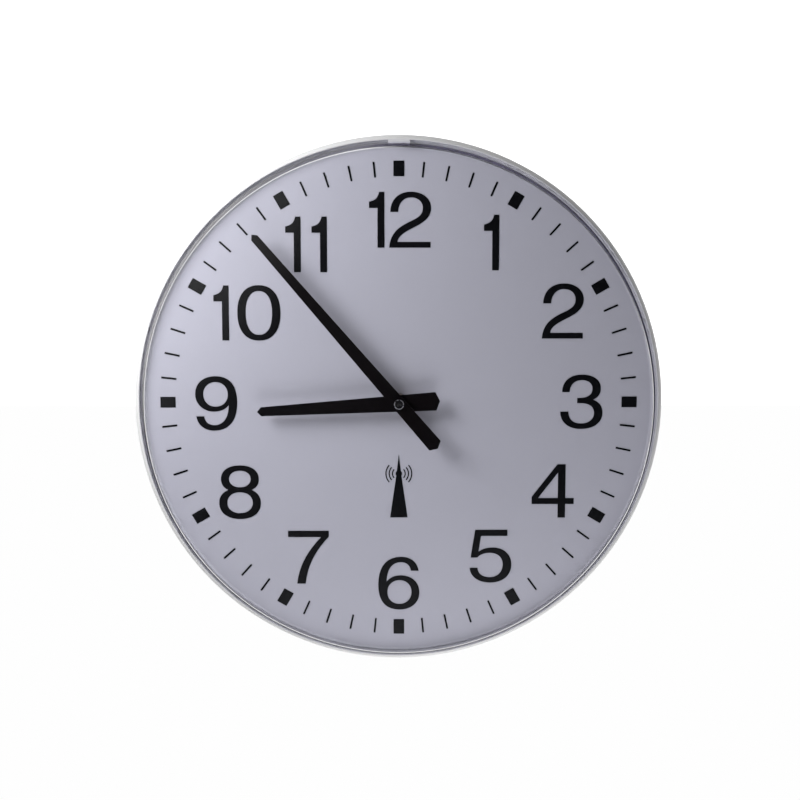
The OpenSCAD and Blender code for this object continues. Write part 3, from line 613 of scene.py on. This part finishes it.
def wind(tree, name, node, along, roundness):
    """Wire wound over the room that a packed sleeve takes, along X or Z."""
    low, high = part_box(node)
    middle, size = (low + high) / 2, high - low
    lay = Matrix.Rotation(math.pi / 2, 4, "Y") if along == "X" else Matrix.Identity(4)
    across, length = (size.z, size.x) if along == "X" else (size.x, size.z)
    turns = int((length - 2 * WIRE_RADIUS) / WIRE_STEP) + 1
    start = -WIRE_STEP * (turns - 1) / 2
    across, deep = across - 2 * WIRE_RADIUS, size.y - 2 * WIRE_RADIUS
    piece = tree.grow(name, {"Across": across, "Deep": deep, "Corner": roundness * min(across, deep) / 2,
                             "Wire": WIRE_RADIUS, "Turns": turns, "Step": (0.0, 0.0, WIRE_STEP),
                             "First": (0.0, 0.0, start)})
    piece.data.transform(Matrix.Translation(middle) @ lay)
    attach(piece, "clock")
    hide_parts(node)


def button_guards(plastic):
    """A low raised ring round each button, moulded with the movement's back."""
    g = Growth("guards", {"Radius": "Float", "Thickness": "Float"})
    ring = g.node("CurvePrimitiveCircle", {"Resolution": 40, "Radius": g.given["Radius"]})
    bead = g.node("CurvePrimitiveCircle", {"Resolution": 8, "Radius": g.given["Thickness"]})
    guard = g.node("CurveToMesh", {"Curve": ring, "Profile Curve": bead})
    g.end(g.node("InstanceOnPoints", {"Points": g.given["Geometry"], "Instance": guard,
                                      "Rotation": (math.pi / 2, 0.0, 0.0)}), plastic)
    centres = []
    for button in ("set_button", "receive_button", "reset_button"):
        low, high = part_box(button)
        centres.append(((low.x + high.x) / 2, MOVEMENT_BACK_Y, (low.z + high.z) / 2))
    piece = g.grow("button_guards", {"Radius": GUARD_RADIUS, "Thickness": GUARD_THICKNESS}, centres)
    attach(piece, "clock")


def bay_signs(plastic):
    """Raised plus and minus signs over the ends of the battery's bay."""
    arm, half = SIGN_ARM, BAY_SIGN_LINE
    plus = [(arm, -half), (arm, half), (half, half), (half, arm), (-half, arm), (-half, half),
            (-arm, half), (-arm, -half), (-half, -half), (-half, -arm), (half, -arm), (half, -half)]
    minus = [(arm, -half), (arm, half), (-arm, half), (-arm, -half)]
    root, middle_z = MOVEMENT_BACK_Y - BAY_SIGN_ROOT, BATTERY_Z + BAY_SIGN_RISE
    bm = bmesh.new()
    for outline, x in ((plus, BAY_SIGN_X), (minus, -BAY_SIGN_X)):
        foot = [bm.verts.new((x + a, root, middle_z + b)) for a, b in outline]
        raised = bmesh.ops.extrude_face_region(bm, geom=[bm.faces.new(foot)])["geom"]
        top = [v for v in raised if isinstance(v, bmesh.types.BMVert)]
        bmesh.ops.translate(bm, verts=top, vec=(0.0, BAY_SIGN_ROOT + BAY_SIGN_HEIGHT, 0.0))
    rim = [e for e in bm.edges if all(v.co.y > MOVEMENT_BACK_Y for v in e.verts)]
    bmesh.ops.bevel(bm, geom=rim, offset=BAY_SIGN_BEVEL, segments=2, affect="EDGES")
    mesh = bpy.data.meshes.new("bay_signs")
    bm.to_mesh(mesh)
    bm.free()
    mesh.materials.append(plastic)
    piece = plain_piece("bay_signs", mesh)
    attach(piece, "clock")


def chip_legs(steel):
    """Bent legs from the chip's four sides down to the board."""
    low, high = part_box("clock_chip")
    middle, half = (low + high) / 2, (high.x - low.x) / 2
    down = (high.y - low.y) / 2 - LEG_THICKNESS / 2
    g = Growth("legs", {"Width": "Float", "Thickness": "Float"})
    bent = g.node("CurvePrimitiveBezierSegment", {
        "Resolution": 8, "Start": (-0.0002, 0.0, 0.0), "Start Handle": (LEG_REACH * 0.7, 0.0, 0.0),
        "End Handle": (LEG_REACH * 0.2, -down, 0.0), "End": (LEG_REACH, -down, 0.0)})
    strip = g.node("CurvePrimitiveQuadrilateral", {"Width": g.given["Thickness"], "Height": g.given["Width"]})
    leg = g.node("CurveToMesh", {"Curve": bent, "Profile Curve": strip, "Fill Caps": True})
    turn = g.node("InputNamedAttribute", {"Name": "turn"}, data_type="FLOAT_VECTOR")
    legs = g.node("InstanceOnPoints", {"Points": g.given["Geometry"], "Instance": leg, "Rotation": turn})
    g.end(legs, steel)
    feet, turns = [], []
    for side in range(4):
        about = Matrix.Rotation(side * math.pi / 2, 3, "Y")
        for i in range(LEGS_A_SIDE):
            along = (i - (LEGS_A_SIDE - 1) / 2) * LEG_PITCH
            feet.append(middle + about @ Vector((half, 0.0, along)))
            turns.append((0.0, side * math.pi / 2, 0.0))
    piece = g.grow("chip_legs", {"Width": LEG_WIDTH, "Thickness": LEG_THICKNESS}, feet, turns)
    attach(piece, "clock")


def add_pieces(finishes):
    """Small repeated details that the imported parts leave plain."""
    chip_legs(finishes["steel"])
    windings = winding_tree(finishes["copper_wire"])
    wind(windings, "aerial_turns", "antenna_winding", along="X", roundness=0.97)
    wind(windings, "motor_turns", "coil_winding", along="Z", roundness=0.45)
    button_guards(finishes["black_plastic"])
    bay_signs(finishes["black_plastic"])


# ---------------------------------------------------------------- stage, light and camera

def pale_floor():
    """A plain floor well below the clock: white to the eye, with a little of its own shading."""
    s = Shader("floor_pale")
    path = s.node("LightPath").outputs
    seen = s.largest(path["Is Glossy Ray"], path["Is Transmission Ray"], path["Is Camera Ray"])
    matt = s.node("BsdfDiffuse", {"Color": s.mottled((0.8, 0.8, 0.8), 3.0, 0.01)})
    white = s.node("Emission", {"Color": WHITE, "Strength": 1.0})
    s.surface(s.node("MixShader", {0: s.product(seen, 0.985), 1: matt.outputs[0], 2: white.outputs[0]}))
    near, far, side, level = -1.7, 9.0, 7.0, HUB_Z - 1.1
    mesh = bpy.data.meshes.new("floor")
    mesh.from_pydata([(-side, near, level), (side, near, level), (side, far, level), (-side, far, level)],
                     [], [(0, 1, 2, 3)])
    mesh.materials.append(s.mat)
    floor = bpy.data.objects.new("floor", mesh)
    bpy.context.collection.objects.link(floor)


def wall_light(s, parts):
    """Light that falls on the clock: white behind, softer at the sides, darker at the left and in front."""
    shaded_left = s.span(parts["X"], *LEFT_WALL, LEFT_SHADE, 1.0, smooth=True)
    sides = s.span(parts["Y"], *FRONT_WALL, SIDE_LIGHT, FRONT_LIGHT, smooth=True)
    behind = s.span(parts["Y"], *BACK_WALL, 0.0, BACK_LIGHT, smooth=True)
    straight = s.span(parts["Y"], *BACK_MIDDLE, 1.0, STRAIGHT_BEHIND, smooth=True)
    return s.largest(s.product(sides, shaded_left), s.product(behind, shaded_left, straight))


def mirrored_room(s, way, parts):
    """What the glossy parts mirror: walls under a dark ceiling, a window at the upper left, a table."""
    around = s.span(parts["Y"], *ROOM_WALLS, smooth=True)
    ceiling = s.span(s.along(way, CEILING_WAY), *CEILING, 1.0, CEILING_LIGHT, smooth=True)
    upper_left = s.along(way, WINDOW_WAY)
    pane = s.largest(s.span(upper_left, *WINDOW_DIM, FRONT_LIGHT, WINDOW_LIGHT, smooth=True),
                     s.span(upper_left, *WINDOW_BRIGHT, smooth=True))
    window = s.product(pane, s.span(parts["X"], *WINDOW_SIDE, smooth=True))
    table = s.span(parts["Z"], *TABLE, 0.0, TABLE_LIGHT, smooth=True)
    return s.largest(s.product(around, ceiling), window, table)


def studio_world():
    """White to the camera, a soft light to the clock and a plain room to its mirrors."""
    world = bpy.data.worlds.new("studio")
    bpy.context.scene.world = world
    s = Shader("studio", world)
    way = s.coords.outputs["Generated"]
    parts = s.xyz(way)
    path = s.node("LightPath").outputs
    mirror = s.largest(path["Is Glossy Ray"], path["Is Transmission Ray"])
    level = s.span(mirror, 0.0, 1.0, wall_light(s, parts), mirrored_room(s, way, parts))
    s.surface(s.node("Background", {"Color": WHITE, "Strength": s.largest(level, path["Is Camera Ray"])}))


def softbox(name, place, aim, size, watts):
    """A round soft lamp that lights the clock and is not seen itself, in mirrors either."""
    lamp = bpy.data.lights.new(name, "AREA")
    lamp.shape = "DISK"
    lamp.size = size
    lamp.energy = watts
    holder = bpy.data.objects.new(name, lamp)
    holder.location = place
    holder.rotation_euler = (Vector(aim) - Vector(place)).to_track_quat("-Z", "Y").to_euler()
    holder.visible_camera = False
    holder.visible_glossy = False
    bpy.context.collection.objects.link(holder)


def studio_light():
    """A soft lamp close by at the upper left and a weaker one below, as the dial's shading shows."""
    hub = (0.0, DIAL_Y, HUB_Z)
    softbox("upper_left", (-0.40, DIAL_Y - 0.26, HUB_Z + 0.28), hub, size=0.3, watts=3.25)
    softbox("from_below", (0.1, DIAL_Y - 0.30, HUB_Z - 0.5), hub, size=0.5, watts=1.9)


def photo_camera():
    """Just above the clock, a metre away, as in the photograph."""
    azimuth, elevation, distance = math.radians(-0.45), math.radians(6.8), 1.025
    target = Vector((0.0, DIAL_Y, HUB_Z))
    way = Vector((math.sin(azimuth) * math.cos(elevation), -math.cos(azimuth) * math.cos(elevation),
                  math.sin(elevation)))
    lens = bpy.data.cameras.new("camera")
    lens.sensor_width = 36.0
    lens.lens = 60.75
    lens.shift_x = 0.00144
    lens.shift_y = 0.0025
    camera = bpy.data.objects.new("camera", lens)
    camera.location = target + way * distance
    camera.rotation_euler = (-way).to_track_quat("-Z", "Y").to_euler()
    bpy.context.collection.objects.link(camera)
    bpy.context.scene.camera = camera


finishes = mix_finishes()
dress_nodes(finishes)
add_pieces(finishes)
pale_floor()
studio_world()
studio_light()
photo_camera()
bpy.context.scene.view_settings.view_transform = "Standard"
